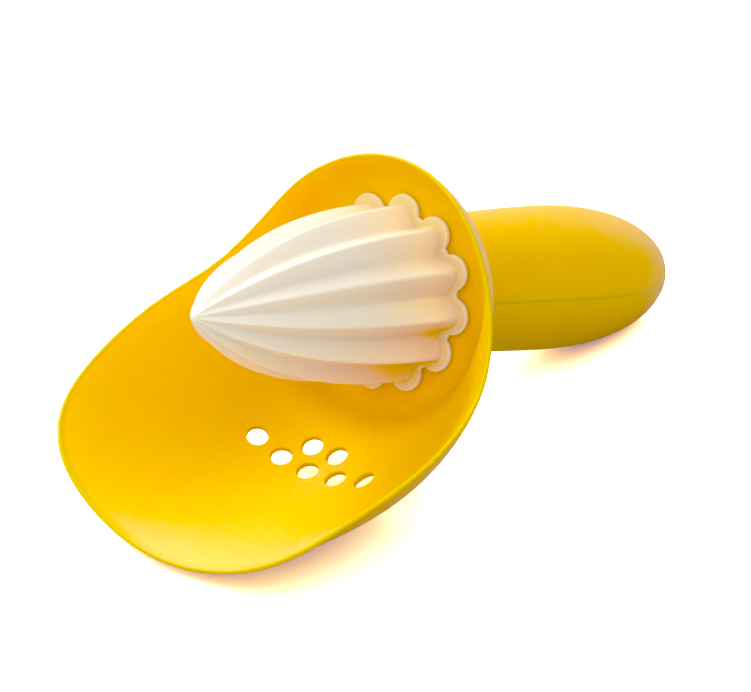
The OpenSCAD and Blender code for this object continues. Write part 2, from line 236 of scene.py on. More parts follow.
class Finish(bpy.types.PropertyGroup):
    scoop: colour("Scoop", "Colour of the scoop, whose hollow deepens it", (0.86, 0.585, 0.06))
    handle: colour("Handle", "Colour of the handle", (0.86, 0.54, 0.03))
    # Painted rim shade: a darker, greener yellow laid on the thin rim, standing in for the olive edge
    # that light and shade give it
    painted_rim_shade: colour("Worn yellow", "Colour of the thin rim", (0.68, 0.52, 0.03))
    ivory: colour("Ivory", "Colour of the translucent cone", (0.87, 0.80, 0.71))
    # Painted light: the cone's colour turns to this glow where the scoop's yellow light falls through
    # and onto it
    painted_glow: colour("Shine through", "Colour of the cone where it is thin and the scoop shows through",
                  (0.90, 0.70, 0.22))
    rubber: colour("Rubber", "Colour of the sealing ring", (0.02, 0.02, 0.02))
    floor: colour("Floor", "Colour of the studio floor", (0.9, 0.9, 0.9))


def brightness(name, description):
    return bpy.props.FloatProperty(name=name, description=description, default=1, min=0, max=5)


class Light(bpy.types.PropertyGroup):
    low: brightness("Low", "Brightness of the low lights round the tool")
    back: brightness("Back", "Brightness of the softboxes behind the tool")
    front: brightness("Front", "Brightness of the lights on the camera's side")
    top: brightness("Top", "Brightness of the lights overhead")
    saturation: bpy.props.FloatProperty(name="Saturation", description="Saturation of the picture",
                                        default=1.15, min=0, max=2)


# Shader groups and materials

RUB_SHARE = 0.35          # of the rubbed streaks in the gloss, next to its broad drift
RELIEF = 0.05 * MM        # height of the grain


def fill(node, sockets):
    """Sets values on a node's sockets, which are named with _ for a space."""
    for name, value in sockets.items():
        node.inputs[name.replace("_", " ")].default_value = value
    return node


def add(tree, kind, **sockets):
    """A new shader node with values on its sockets."""
    return fill(tree.nodes.new(kind), sockets)


def feed(tree, value, socket):
    """Gives a socket either a number or another node's output."""
    if isinstance(value, (int, float)):
        socket.default_value = value
    else:
        tree.links.new(value, socket)


def shader_group(name, inputs, outputs):
    """An empty node group with float inputs and given outputs, and its two end nodes."""
    group = bpy.data.node_groups.new(name, "ShaderNodeTree")
    for socket, value in inputs.items():
        made = group.interface.new_socket(socket, in_out="INPUT", socket_type="NodeSocketFloat")
        made.default_value = value
    for socket, kind in outputs.items():
        group.interface.new_socket(socket, in_out="OUTPUT", socket_type=kind)
    return group, group.nodes.new("NodeGroupInput"), group.nodes.new("NodeGroupOutput")


def place_noise(tree, source, scale_socket, detail, roughness=0.5):
    """Noise over the object's own coordinates, with its scale taken from a socket."""
    where = tree.nodes.new("ShaderNodeTexCoord")
    noise = add(tree, "ShaderNodeTexNoise", Detail=detail, Roughness=roughness)
    tree.links.new(where.outputs["Object"], noise.inputs["Vector"])
    tree.links.new(source.outputs[scale_socket], noise.inputs["Scale"])
    return noise


def mapped(tree, value, to_min, to_max, low=0.3, high=0.7):
    """A value of a texture spread between two numbers or sockets."""
    ranged = add(tree, "ShaderNodeMapRange", From_Min=low, From_Max=high)
    tree.links.new(value, ranged.inputs["Value"])
    feed(tree, to_min, ranged.inputs["To Min"])
    feed(tree, to_max, ranged.inputs["To Max"])
    return ranged.outputs["Result"]


def layered(tree, broad, fine, share):
    """A broad noise with a share of a fine one on top."""
    mixed = tree.nodes.new("ShaderNodeMath")
    mixed.operation = "MULTIPLY_ADD"
    tree.links.new(fine.outputs["Fac"], mixed.inputs[0])
    feed(tree, share, mixed.inputs[1])
    tree.links.new(broad.outputs["Fac"], mixed.inputs[2])
    return mixed.outputs[0]


def moulded_gloss():
    """Roughness of a polished mould's plastic: a broad drift with fine rubbed streaks."""
    group, start, end = shader_group(
        "moulded_gloss", {"Smoothest": 0.2, "Dullest": 0.3, "Scale": 60, "Rub Scale": 900},
        {"Roughness": "NodeSocketFloat"})
    drift = place_noise(group, start, "Scale", 3)
    rub = place_noise(group, start, "Rub Scale", 2, 0.6)
    spread = mapped(group, layered(group, drift, rub, RUB_SHARE), start.outputs["Smoothest"],
                    start.outputs["Dullest"], low=0.45, high=0.95)
    group.links.new(spread, end.inputs["Roughness"])
    return group


def moulded_grain():
    """Height of the faint orange peel and fine grain of moulded plastic."""
    group, start, end = shader_group(
        "moulded_grain", {"Peel Scale": 350, "Grain Scale": 1400, "Grain Share": 0.12},
        {"Height": "NodeSocketFloat"})
    peel = place_noise(group, start, "Peel Scale", 1)
    grain = place_noise(group, start, "Grain Scale", 1)
    height = layered(group, peel, grain, start.outputs["Grain Share"])
    group.links.new(height, end.inputs["Height"])
    return group


def pigment_drift():
    """Slow change of a pigment's strength through a moulding."""
    group, start, end = shader_group(
        "pigment_drift", {"Weakest": 0.96, "Strongest": 1.0, "Scale": 14},
        {"Strength": "NodeSocketFloat"})
    noise = place_noise(group, start, "Scale", 4)
    strength = mapped(group, noise.outputs["Fac"], start.outputs["Weakest"],
                      start.outputs["Strongest"])
    group.links.new(strength, end.inputs["Strength"])
    return group


def group_node(tree, group_name, maker, **values):
    """The shared group in a material, with its own values. The group is made on its first use."""
    group = bpy.data.node_groups.get(group_name) or maker()
    node = tree.nodes.new("ShaderNodeGroup")
    node.node_tree = group
    return fill(node, values)


def plastic(name, tint, painted_light_tint, smoothest, dullest, bump, drift, **constants):
    """A coloured moulded plastic with pigment drift, gloss drift and faint grain, made on its first
    use. Where the mesh asks for painted light, it has its second colour, which is a painted glow on
    the cone and a painted shade on the scoop's rim."""
    material = bpy.data.materials.get(name)
    if material:
        return material
    material = bpy.data.materials.new(name)
    material.use_nodes = True
    tree = material.node_tree
    shader = tree.nodes["Principled BSDF"]
    strength = group_node(tree, "pigment_drift", pigment_drift, Weakest=1 - drift)
    paint = add(tree, "ShaderNodeHueSaturation")
    # Painted light and shade: the mesh's mask mixes in the second colour
    painted_light = tree.nodes.new("ShaderNodeAttribute")
    painted_light.attribute_name = "painted_light"
    blend = tree.nodes.new("ShaderNodeMix")
    blend.data_type = "RGBA"
    blend.inputs["A"].default_value = (*tint, 1)
    blend.inputs["B"].default_value = (*painted_light_tint, 1)
    tree.links.new(painted_light.outputs["Fac"], blend.inputs["Factor"])
    tree.links.new(blend.outputs["Result"], paint.inputs["Color"])
    tree.links.new(strength.outputs["Strength"], paint.inputs["Value"])
    tree.links.new(paint.outputs["Color"], shader.inputs["Base Color"])
    gloss = group_node(tree, "moulded_gloss", moulded_gloss, Smoothest=smoothest, Dullest=dullest)
    tree.links.new(gloss.outputs["Roughness"], shader.inputs["Roughness"])
    grain = group_node(tree, "moulded_grain", moulded_grain)
    relief = add(tree, "ShaderNodeBump", Strength=bump, Distance=RELIEF)
    tree.links.new(grain.outputs["Height"], relief.inputs["Height"])
    tree.links.new(relief.outputs["Normal"], shader.inputs["Normal"])
    fill(shader, constants)
    return material


def yellow_plastic(part):
    """The opaque satin plastic of the scoop or of the handle."""
    finish = bpy.context.scene.reamer_finish
    # The second colour is the painted shade of the scoop's rim
    return plastic("yellow_plastic_" + part, getattr(finish, part), finish.painted_rim_shade,
                   smoothest=0.46, dullest=0.53, bump=0.2, drift=0.03,
                   Subsurface_Weight=0.6, Subsurface_Radius=(1.0, 0.5, 0.1),
                   Subsurface_Scale=0.0024, Specular_IOR_Level=0.3, IOR=1.5)


def ivory_plastic():
    """The cloudy, softly glossy plastic of the cone."""
    finish = bpy.context.scene.reamer_finish
    # The second colour is the cone's painted glow
    return plastic("ivory_plastic_clear", finish.ivory, finish.painted_glow,
                   smoothest=0.2, dullest=0.265, bump=0.15, drift=0.03,
                   Subsurface_Weight=0.35, Subsurface_Radius=(1.0, 0.8, 0.55),
                   Subsurface_Scale=0.004, IOR=1.5)


def seal_rubber():
    """The dull dark rubber of the sealing ring."""
    finish = bpy.context.scene.reamer_finish
    return plastic("seal_rubber_matt", finish.rubber, finish.rubber,
                   smoothest=0.55, dullest=0.7, bump=0.4, drift=0.2)


def dress(piece, material):
    """Gives a piece its one material, whether it is new or a node of the frame."""
    if piece.material_slots:
        for slot in piece.material_slots:
            slot.material = material
    else:
        piece.data.materials.append(material)


# The scoop

# Pulls of the scoop's curves, close to those of the solid model: [x, radius] or [x, height] from
# the points that they pull on
FOLD_SLOPE = math.radians(50)
FOLD_RISE = 4.6 * MM
FOLD_PULL = 6.2 * MM
TROUGH_PULL = 29.4 * MM
LIP_RUN = 2 * MM
LIP_PULL = np.array([11, -5.6]) * MM
TOP_X = 2.5 * MM
TOP_PULL = np.array([-11, -1]) * MM
WAIST = np.array([-9, 4]) * MM
WAIST_PULL_UP = np.array([5, 14]) * MM
WAIST_PULL_DOWN = np.array([-3.5, -10]) * MM
KNEE = np.array([-35, -20.5]) * MM
KNEE_PULL_UP = np.array([16.5, 11]) * MM
KNEE_PULL_DOWN = np.array([-22.4, -15]) * MM
LIP_CORNER_PULL = 20.5 * MM
PLATE_X = 1.5 * MM
FRONT_ROW = 17.4 * MM     # how far in front of the flange the front row of holes lies
BACK_ROW = 11.9 * MM
FRONT_HOLES = 5
BACK_HOLES = 2
HOLE_ROUNDING = 0.3 * MM
HOLE_EDGE_TURN = math.radians(65)  # how far that rounding goes round
HOLE_FLARE = 0.8 * MM     # how much larger a hole's radius is at the underside
HOLE_SIDES = 48
RIM_WALL_TOP = 1.1 * MM   # the wall gets thinner towards the rim
RIM_WALL_LOW = 1.3 * MM
# The rim swells where the seen one does: turn and width in degrees, rise in millimetres
RIM_SWELLS = ((12, 28, 0.9), (55, 20, 0.4), (92, 22, 1.0), (125, 14, 1.1), (157, 14, -0.5))
FLARE_TURN = math.radians(45)  # the outside is thinned round this turn, and the inside elsewhere
FLARE_WIDTH = math.radians(28)
TAPER_RUN = 14 * MM

# The socket and the neck behind the plate
SOCKET_RADIUS = 8.3 * MM
SOCKET_STEP = 10.7 * MM   # where the round socket turns into the six-sided one
SOCKET_END = 22.7 * MM
SOCKET_FLATS = 10.6 * MM
NECK_RADIUS = 12 * MM
NECK_END = 25.5 * MM
NECK_FILLET = np.array([0.5, 1.2]) * MM
GRIP_PLACE = 17.5 * MM    # the groove that the shells grip
GRIP_WIDTH = 4 * MM
GRIP_DEPTH = 1.6 * MM
MOULD_EDGE = 0.3 * MM     # rounding of the socket's and the neck's edges

SECTORS = 24              # each has the same turn, so the socket's corners fall on columns
BOWL_ROWS = 64
BOWL_COLUMNS = 300
FOLD_STEPS = 160          # points along the fold, and then along the trough
TROUGH_STEPS = 400
RIM_SIDE_STEPS = 100      # points on each stretch of the rim's side view
RIM_STEPS = 10            # steps round the rim's half circle
FINE_TURNS = 1441         # turns at which the rim's length is measured


def bowl_profile(size):
    """Middle of the scoop's wall, from the plate to beyond the front lip."""
    inward = np.array([-math.cos(FOLD_SLOPE), math.sin(FOLD_SLOPE)])
    start = np.array([PLATE_X, size.plate])
    fold_end = np.array([-size.fold_reach, size.fold_radius])
    lip = np.array([-size.lip_reach - LIP_RUN, size.lip_radius])
    fold = bezier([start, start + [0, FOLD_RISE], fold_end - FOLD_PULL * inward, fold_end],
                  FOLD_STEPS)
    trough = bezier([fold_end, fold_end + TROUGH_PULL * inward, lip + LIP_PULL, lip],
                    TROUGH_STEPS)
    inside = Profile(joined(fold, trough))
    return Profile(inside.points + inside.outward(inside.along) * size.wall / 2)


def rim_cut(size, height):
    """Where the rim's side view lies at a height over the axis, as a distance along the axis."""
    top = np.array([TOP_X, size.top])
    low = np.array([-size.lip_reach, -size.lip_radius])
    side = joined(
        bezier([top, top + TOP_PULL, WAIST + WAIST_PULL_UP, WAIST], RIM_SIDE_STEPS),
        bezier([WAIST, WAIST + WAIST_PULL_DOWN, KNEE + KNEE_PULL_UP, KNEE], RIM_SIDE_STEPS),
        bezier([KNEE, KNEE + KNEE_PULL_DOWN, low + [0, LIP_CORNER_PULL], low], RIM_SIDE_STEPS))
    return np.interp(height, side[::-1, 1], side[::-1, 0])


def rim_reach(size, profile, turn):
    """Length along the profile at which the rim cuts it, for each turn."""
    grid = profile.along
    reach = []
    for angle in np.atleast_1d(turn):
        past = profile.points[:, 0] - rim_cut(size, profile.points[:, 1] * math.cos(angle))
        k = int(np.argmax(past < 0))
        share = past[k - 1] / (past[k - 1] - past[k])
        reach.append(grid[k - 1] + share * (grid[k] - grid[k - 1]))
    degrees = np.degrees(np.atleast_1d(turn))
    swell = sum(rise * np.exp(-((degrees - middle) / width) ** 2)
                for middle, width, rise in RIM_SWELLS)
    return np.array(reach) + swell * MM


def rim_columns(size, profile):
    """Turns of the columns round the scoop, spread evenly along the rim within each sector."""
    turn = np.linspace(0, math.pi, FINE_TURNS)
    reach = rim_reach(size, profile, turn)
    spots = profile.at(reach)
    line = revolved(spots[:, 0], spots[:, 1], turn)
    along = np.concatenate([[0], np.cumsum(np.linalg.norm(np.diff(line, axis=0), axis=1))])
    chosen = []
    for s in range(SECTORS // 2):
        low, high = (math.pi * k / (SECTORS // 2) for k in (s, s + 1))
        ends = np.interp([low, high], turn, along)
        count = max(4, round(BOWL_COLUMNS / 2 * (ends[1] - ends[0]) / along[-1]))
        chosen.append(np.interp(np.linspace(*ends, count + 1)[:-1], along, turn))
    half = np.concatenate(chosen)
    return np.concatenate([half, [math.pi], 2 * math.pi - half[:0:-1]])


def rim_frame(size, profile, turn):
    """For each column: the outermost point of the rim and the way that the rim faces."""
    reach = rim_reach(size, profile, np.where(turn > math.pi, 2 * math.pi - turn, turn))
    spots = profile.at(reach)
    line = revolved(spots[:, 0], spots[:, 1], turn)
    out = profile.outward(reach)
    inward = -revolved(out[:, 0], out[:, 1], turn)
    tangent = np.roll(line, -1, 0) - np.roll(line, 1, 0)
    facing = np.cross(tangent, inward)
    facing /= np.linalg.norm(facing, axis=1)[:, None]
    slope = np.stack([np.interp(reach, profile.along, profile.slope[:, k]) for k in (0, 1)], -1)
    away = revolved(slope[:, 0], slope[:, 1], turn)
    facing *= np.sign(np.sum(facing * away, axis=1))[:, None]
    return line, facing


class BowlWall:
    """The scoop's wall from the plate to its rounded rim, on columns round the axis."""

    def __init__(self, size):
        self.full = size.wall
        self.profile = bowl_profile(size)
        self.turn = rim_columns(size, self.profile)
        self.thinned = RIM_WALL_LOW + (RIM_WALL_TOP - RIM_WALL_LOW) * (1 + np.cos(self.turn)) / 2
        line, self.facing = rim_frame(size, self.profile, self.turn)
        # The rim is half a circle, whose centre lies on the middle of the wall
        centre = line - self.facing * self.thinned[:, None] / 2
        radius = np.hypot(centre[:, 1], centre[:, 2])
        self.rim_turn = np.unwrap(np.arctan2(centre[:, 1], centre[:, 2]))
        self.rim_turn += self.turn[0] - self.rim_turn[0]
        gap = np.hypot(self.profile.points[None, :, 0] - centre[:, :1],
                       self.profile.points[None, :, 1] - radius[:, None])
        self.rim_along = self.profile.along[np.argmin(gap, axis=1)]

    def row(self, share, side):
        """One ring on the inside (-1) or the outside (1), at a share of the way to the rim."""
        along = self.rim_along * share
        angle = self.turn + (self.rim_turn - self.turn) * share ** 3
        near = np.clip((along - self.rim_along + TAPER_RUN) / TAPER_RUN, 0, 1)
        wall = self.full + (self.thinned - self.full) * near ** 2
        flare = np.exp(-((np.arccos(np.cos(self.turn)) - FLARE_TURN) / FLARE_WIDTH) ** 2)
        lost = (self.full - wall) * (flare if side > 0 else 1 - flare)
        offset = side * (self.full / 2 - lost)
        spot = self.profile.at(along) + np.multiply(offset, self.profile.outward(along).T).T
        return revolved(spot[:, 0], spot[:, 1], angle)

    def rim_rows(self):
        """Rings round the rim, from the inside to the outside."""
        out = self.profile.outward(self.rim_along)
        normal = revolved(out[:, 0], out[:, 1], self.rim_turn)
        inside, outside = self.row(1, -1), self.row(1, 1)
        half = np.linalg.norm(outside - inside, axis=1)[:, None] / 2
        face = self.facing - np.sum(self.facing * normal, axis=1)[:, None] * normal
        face /= np.linalg.norm(face, axis=1)[:, None]
        return [(inside + outside) / 2 + half * (-math.cos(a) * normal + math.sin(a) * face)
                for a in np.linspace(0, math.pi, RIM_STEPS + 1)[1:-1]]


def socket_rows(turn):
    """Rings from the six-sided bottom of the cone's socket to its rounded edge on the plate."""
    six_sided = SOCKET_FLATS / 2 / np.cos((turn + math.pi / 6) % (math.pi / 3) - math.pi / 6)
    outline = [(SOCKET_END, six_sided), (SOCKET_STEP + MOULD_EDGE, six_sided),
               (SOCKET_STEP, six_sided + MOULD_EDGE), (SOCKET_STEP, SOCKET_RADIUS),
               (PLATE_X + MOULD_EDGE, SOCKET_RADIUS)]
    outline += [(PLATE_X + MOULD_EDGE * (1 - math.sin(a)),
                 SOCKET_RADIUS + MOULD_EDGE * (1 - math.cos(a))) for a in quarter(3)]
    return [revolved(x, r, turn) for x, r in outline]


def neck_rows(size, turn):
    """Rings over the plate's back and along the neck, with the groove that the shells grip."""
    back = PLATE_X + size.wall
    foot = NECK_RADIUS + NECK_FILLET[1]
    floor = NECK_RADIUS - GRIP_DEPTH
    neck = [(back + NECK_FILLET[0], NECK_RADIUS), (GRIP_PLACE, NECK_RADIUS), (GRIP_PLACE, floor),
            (GRIP_PLACE + GRIP_WIDTH, floor), (GRIP_PLACE + GRIP_WIDTH, NECK_RADIUS),
            (NECK_END - MOULD_EDGE, NECK_RADIUS), (NECK_END, NECK_RADIUS - MOULD_EDGE)]
    rows = [revolved(back, r, turn) for r in np.linspace(size.plate, foot, 6)[1:]]
    return rows + [from_handle(revolved(x, r, turn)) for x, r in neck]


def bowl_rows(size):
    """Rings of points from the socket's end round the rim to the neck's end, and where a painted
    shade of darker, greener yellow is laid on them, which is round the rim."""
    wall = BowlWall(size)
    shares = np.linspace(0, 1, BOWL_ROWS + 1) ** 1.5
    rows = socket_rows(wall.turn)
    rows += [revolved(PLATE_X, r, wall.turn)
             for r in np.linspace(SOCKET_RADIUS + MOULD_EDGE, size.plate, 9)[1:-1]]
    rows += [wall.row(share, -1) for share in shares]
    rim_start = len(rows) - 1
    rows += wall.rim_rows()
    rim_end = len(rows) + 1
    rows += [wall.row(share, 1) for share in shares[::-1]]
    rows += neck_rows(size, wall.turn)
    rows = np.array(rows)
    # The rim's rows take the painted rim shade
    painted_light = np.zeros(rows.shape[:2])
    painted_light[rim_start:rim_end] = 1
    return rows, painted_light


def hole_places(size):
    """Turn and reach of each strainer hole, in a front and a back row."""
    profile = bowl_profile(size)
    order = np.argsort(profile.points[:, 0])
    radius = np.interp(-FRONT_ROW, profile.points[order, 0], profile.points[order, 1])
    step = size.pitch / (radius - size.wall / 2)
    places = []
    for reach, count in ((FRONT_ROW, FRONT_HOLES), (BACK_ROW, BACK_HOLES)):
        along = float(np.interp(-reach, profile.points[order, 0], profile.along[order]))
        places += [(math.pi + (i - (count - 1) / 2) * step, along) for i in range(count)]
    return places


def hole_cutter(size, turn, along):
    """A drill through the wall whose ends flare, so that it leaves rounded edges."""
    profile = bowl_profile(size)
    spot, out = profile.at(np.array([along])), profile.outward(np.array([along]))
    middle = revolved(spot[:, 0], spot[:, 1], turn)[0]
    drill = revolved(out[:, 0], out[:, 1], turn)[0]
    across = np.cross(drill, [1.0, 0, 0])
    across /= np.linalg.norm(across)
    other = np.cross(drill, across)
    half, edge = size.wall / 2, HOLE_ROUNDING
    past = 3 * half
    side = [(half - edge * (1 - math.sin(a)), size.hole / 2 + edge * (1 - math.cos(a)))
            for a in np.linspace(0, HOLE_EDGE_TURN, 5)]
    flared = [(h, r + HOLE_FLARE) for h, r in side[::-1]]
    outline = [(past, flared[0][1] + 2 * edge)] + flared + [(0.2 * half, size.hole / 2)]
    outline += [(-h, r) for h, r in side] + [(-past, size.hole / 2 + 2 * edge)]
    angles = np.linspace(0, 2 * math.pi, HOLE_SIDES, endpoint=False)
    rows = np.array([[middle + h * drill + r * (math.cos(a) * across + math.sin(a) * other)
                      for a in angles] for h, r in outline])
    points, faces = skin(rows, middle + outline[0][0] * drill, middle + outline[-1][0] * drill)
    mesh = bpy.data.meshes.new("hole_cutter")
    mesh.from_pydata([tuple(p) for p in from_tool(points)], [], faces)
    return mesh


def outward_faces(mesh):
    """Turns every face outwards."""
    work = bmesh.new()
    work.from_mesh(mesh)
    bmesh.ops.recalc_face_normals(work, faces=work.faces)
    work.to_mesh(mesh)
    work.free()


def drill_holes(piece, meshes):
    """Cuts the holes through the scoop, and leaves nothing of the cutters behind."""
    outward_faces(piece.data)
    for mesh in meshes:
        outward_faces(mesh)
        cutter = bpy.data.objects.new("hole_cutter", mesh)
        bpy.context.scene.collection.objects.link(cutter)
        cut = piece.modifiers.new("hole", "BOOLEAN")
        cut.operation, cut.solver, cut.object = "DIFFERENCE", "EXACT", cutter
        bpy.context.view_layer.update()
        graph = bpy.context.evaluated_depsgraph_get()
        drilled = bpy.data.meshes.new_from_object(piece.evaluated_get(graph))
        piece.modifiers.clear()
        piece.data = drilled
        bpy.data.objects.remove(cutter)
        bpy.data.meshes.remove(mesh)
    piece.data.shade_smooth()
    piece.data.set_sharp_from_angle(angle=CRISP)


class REAMER_OT_bowl(bpy.types.Operator):
    """Builds the scoop with its rounded rim, strainer holes, cone socket and neck"""
    bl_idname = "reamer.bowl"
    bl_label = "Catcher Bowl"

    def execute(self, context):
        size = context.scene.reamer_bowl
        rows, painted_light = bowl_rows(size)
        points, faces = skin(rows, (SOCKET_END, 0, 0), from_handle([NECK_END, 0, 0]))
        piece = make_piece("bowl_skin", points, faces, "handle", "catcher_bowl",
                           painted_light=[*painted_light.ravel(), 0, 0])
        drill_holes(piece, [hole_cutter(size, *place) for place in hole_places(size)])
        dress(piece, yellow_plastic("scoop"))
        return {"FINISHED"}


# The cone

CONE_STRAIGHT = 30 * MM   # how far along the cone its ridges stay nearly parallel
CONE_BLUNT = 58 * MM      # how far along it its nose is still blunt
NOSE_RADIUS = 16 * MM
MOUTH_RADIUS = 15 * MM
LOBE_RADIUS = 4.6 * MM
NOTCH_RADIUS = 21.1 * MM
CONE_CRISP = math.radians(50)
CREST_ROUNDING = 0.06     # of the turn from a crest to a valley
BASE_ROUNDING = 0.5       # the same at the cone's base
BASE_RUN = 6 * MM         # how far from the base the crests widen
BASE_FILLET = 0.5 * MM
FLANGE_ROUNDING = 0.4 * MM
POINTS_PER_RIDGE = 32
CONE_ROWS = 90
CONE_SIDE_STEPS = 600     # points on the cone's side view
HOLLOW_START = 0.1 * MM   # how far in front of the flange the hollow starts to narrow
HOLLOW_STEP = 12          # steps of the side view between two rings of the hollow
HOLLOW_TIP = 1 * MM       # radius and depth of the hollow's blunt tip
# Painted glow: how strongly the scoop's yellow light is painted into the cone's colour, standing
# in for the light that the scoop sends through the cone and onto it; it is laid on most in the
# flange, the valleys and the underside, which faces the scoop
SHINE_RUN = 34 * MM       # how far from the flange it does so
SHINE_BASE = 0.8          # at the cone's base
SHINE_CREST = 0.25        # share of it on a crest, and what a valley adds
SHINE_VALLEY = 0.8
SHINE_UNDER = 0.55        # how much stronger it is at the underside, and weaker at the top
SHINE_FLANGE = 0.9        # in the flange, and in the flange's pale edge
SHINE_EDGE = 0.45
PALE_ROWS = 8             # rings over that pale edge


def crest_share(size, turn, rounding):
    """Share of the ridge radius at a turn, from 1 on a crest down to the valleys."""
    pitch = 2 * math.pi / size.ridges
    off = np.abs((turn / pitch + 0.5) % 1 - 0.5) * 2
    rounded = (np.sqrt(off ** 2 + rounding ** 2) - rounding) / (math.hypot(1, rounding) - rounding)
    hollow = np.clip(1 - rounded, 0, 1) ** size.hollowness
    return 1 - size.valley / size.radius * (1 - hollow)


def flange_outline(size, turn):
    """Radius of the scalloped flange, with a lobe behind each ridge."""
    pitch = 2 * math.pi / size.ridges
    off = ((turn / pitch + 0.5) % 1 - 0.5) * pitch
    centre = size.flange_radius - LOBE_RADIUS
    inside = np.maximum(LOBE_RADIUS ** 2 - (centre * np.sin(off)) ** 2, 0)
    lobe = np.where(inside > 0, centre * np.cos(off) + np.sqrt(inside), 0)
    return np.maximum(lobe, NOTCH_RADIUS)


def ridge_rows(size, turn, ridge):
    """Rings over the ridges from the tip to the base, and how much painted glow of the scoop's yellow
    each gets.
    """
    rows, painted_glow = [], []
    for along in ridge.length * np.linspace(0, 1, CONE_ROWS + 1)[1:] ** 0.85:
        x, r = ridge.at(along)
        if x > -BASE_FILLET:
            break
        near = max(0.0, 1 + x / BASE_RUN)
        rounding = CREST_ROUNDING + (BASE_ROUNDING - CREST_ROUNDING) * near ** 2
        share = crest_share(size, turn, rounding)
        rows.append(revolved(x, r * share, turn))
        depth = (1 - share) * size.radius / size.valley
        # The painted glow fades away from the flange, is strongest in the valleys and is stronger on
        # the underside
        reach = SHINE_BASE * max(0.0, 1 + x / SHINE_RUN) ** 1.3
        glow = reach * (SHINE_CREST + SHINE_VALLEY * depth) * (1 - SHINE_UNDER * np.cos(turn))
        painted_glow.append(np.minimum(glow, 1))
    return rows, painted_glow


def flange_rows(size, turn):
    """Rings over the fillet at the cone's base and the flange's front to the outer edge, and rings
    over that edge and the flange's back to the cone's mouth."""
    foot = size.radius * crest_share(size, turn, BASE_ROUNDING)
    inner = foot + BASE_FILLET
    rim = flange_outline(size, turn) - FLANGE_ROUNDING
    front = [(-BASE_FILLET * (1 - math.sin(a)), foot + BASE_FILLET * (1 - math.cos(a)))
             for a in quarter(4)]
    front += [(0, inner + (rim - inner) * s) for s in (0.4, 0.8)]
    back = [(0, inner + (rim - inner))]
    back += [(FLANGE_ROUNDING * (1 - math.cos(a)), rim + FLANGE_ROUNDING * math.sin(a))
             for a in quarter(4)]
    back += [(size.flange - FLANGE_ROUNDING * (1 - math.sin(a)),
              rim + FLANGE_ROUNDING * math.cos(a)) for a in [0, *quarter(4)]]
    back += [(size.flange, MOUTH_RADIUS + (rim - MOUTH_RADIUS) * s) for s in (0.5, 0)]
    return [[revolved(x, r, turn) for x, r in half] for half in (front, back)]


def hollow_rows(size, turn, ridge):
    """Rings inside the cone from its mouth to the hollow's tip, and the place of the last one."""
    floor = 1 - size.valley / size.radius
    rows = []
    for x, r in ridge.points[::-HOLLOW_STEP]:
        hollow = min(r * floor - size.wall, MOUTH_RADIUS)
        if hollow > HOLLOW_TIP:
            rows.append(revolved(min(x, -HOLLOW_START), hollow, turn))
            last = x
    return rows, last


def cone_rows(size):
    """Rings of points from the tip, over the flange and back inside the cone, its two poles, and
    how strongly the scoop's yellow glow is painted on at each point."""
    around = size.ridges * POINTS_PER_RIDGE
    turn = np.arange(around) * 2 * math.pi / around
    side = bezier([[0, size.radius], [-CONE_STRAIGHT, size.radius], [-CONE_BLUNT, NOSE_RADIUS],
                   [-size.reach, 0]], CONE_SIDE_STEPS)
    ridge = Profile(side[::-1])
    ridges, painted_glow = ridge_rows(size, turn, ridge)
    front, back = flange_rows(size, turn)
    hollow, last = hollow_rows(size, turn, ridge)
    rows = np.array(ridges + front + back + hollow)
    # Painted glow: full in the flange, weaker over its pale edge, and as worked out above on the
    # ridges
    painted_light = np.full(rows.shape[:2], SHINE_FLANGE)
    painted_light[:len(painted_glow)] = painted_glow
    edge = len(ridges + front)
    painted_light[edge:edge + PALE_ROWS] = SHINE_EDGE
    tip, root = (-size.reach, 0, 0), (last - HOLLOW_TIP, 0, 0)
    return rows, tip, root, [*painted_light.ravel(), 0, SHINE_BASE]


class REAMER_OT_cone(bpy.types.Operator):
    """Builds the hollow ribbed cone with its scalloped flange"""
    bl_idname = "reamer.cone"
    bl_label = "Reamer Cone"

    def execute(self, context):
        rows, tip, root, painted_light = cone_rows(context.scene.reamer_cone)
        points, faces = skin(rows, tip, root)
        piece = make_piece("cone_skin", points, faces, "reamer", "reamer_cone",
                           CONE_CRISP, painted_light)
        outward_faces(piece.data)
        dress(piece, ivory_plastic())
        return {"FINISHED"}


class REAMER_OT_socket(bpy.types.Operator):
    """Finishes the cone's spigot and its rubber sealing ring"""
    bl_idname = "reamer.socket"
    bl_label = "Spigot and Seal"

    def execute(self, context):
        dress(frame["nodes"]["cone_spigot"], ivory_plastic())
        dress(frame["nodes"]["sealing_ring"], seal_rubber())
        return {"FINISHED"}


# The handle

GRIP_PULL = np.array([25.84, 0.9]) * MM
BELLY_PULL_FRONT = 18 * MM
BELLY_PULL_BACK = 16 * MM
END_PULL = np.array([-8.1, 5.2]) * MM
END_ROUNDING = 1.4 * MM
CAP_LENGTH = 3.2 * MM
CAP_GAP = 0.1 * MM        # between the shells and the cap
SKIRT_LENGTH = 6 * MM
SKIRT_WALL = 1.8 * MM
SKIRT_GAP = 0.6 * MM
SKIRT_ROOM = 3 * MM       # how far in front of the skirt the shells' bore gets narrow
JOINT_ROUNDING = 0.1 * MM
SHELL_START = 3.6 * MM
FRONT_BAND = 0.5 * MM     # what lies so near the scoop's back is kept clear of it
SEAM_FADE = 0.6           # how much finer the seam's rounding gets towards the cap
HANDLE_SIDE_STEPS = 200   # points on each half of the handle's side view
HANDLE_STATIONS = 90
CAP_STATIONS = 9
CAP_SIDES = 120
SHELL_ARC = 61            # points of a shell's ring along its outside, and along its inside
SEAM_STEPS = 3            # points of each of its four rounded corners


